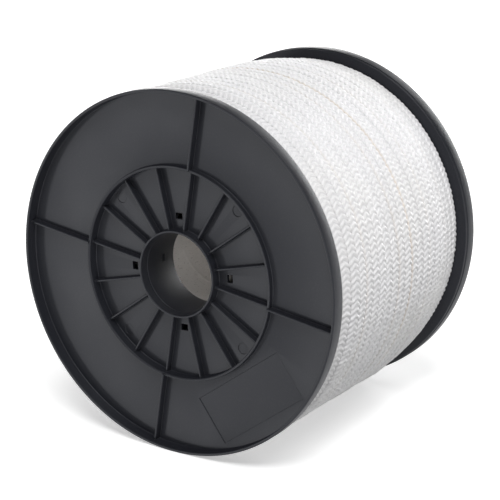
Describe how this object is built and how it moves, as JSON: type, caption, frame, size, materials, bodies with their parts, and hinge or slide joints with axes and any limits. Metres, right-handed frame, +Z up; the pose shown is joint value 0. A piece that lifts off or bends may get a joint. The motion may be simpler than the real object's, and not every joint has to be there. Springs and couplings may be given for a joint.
{
  "type": "cord reel",
  "caption": "Flanged plastic reel on a board core tube, wound nearly full with thick white braided cord; ribbed flanges with a spindle bore.",
  "frame": {"origin": "middle of the reel on its spin axis", "axes": "+Y along the spin axis from the front flange to the rear flange, +Z up, +X to the right seen from the front"},
  "size_m": [0.2298, 0.181, 0.2298],
  "materials": {
    "flange_plastic": "moulded black plastic with a fine satin texture",
    "core_board": "matt spiral-wound grey board",
    "braided_cord": "soft white braided cord with a faint sheen"
  },
  "bodies": {
    "root": {"front_flange": "flange_plastic", "rear_flange": "flange_plastic", "core_tube": "core_board", "cord_winding": "braided_cord"}
  },
  "joints": []
}
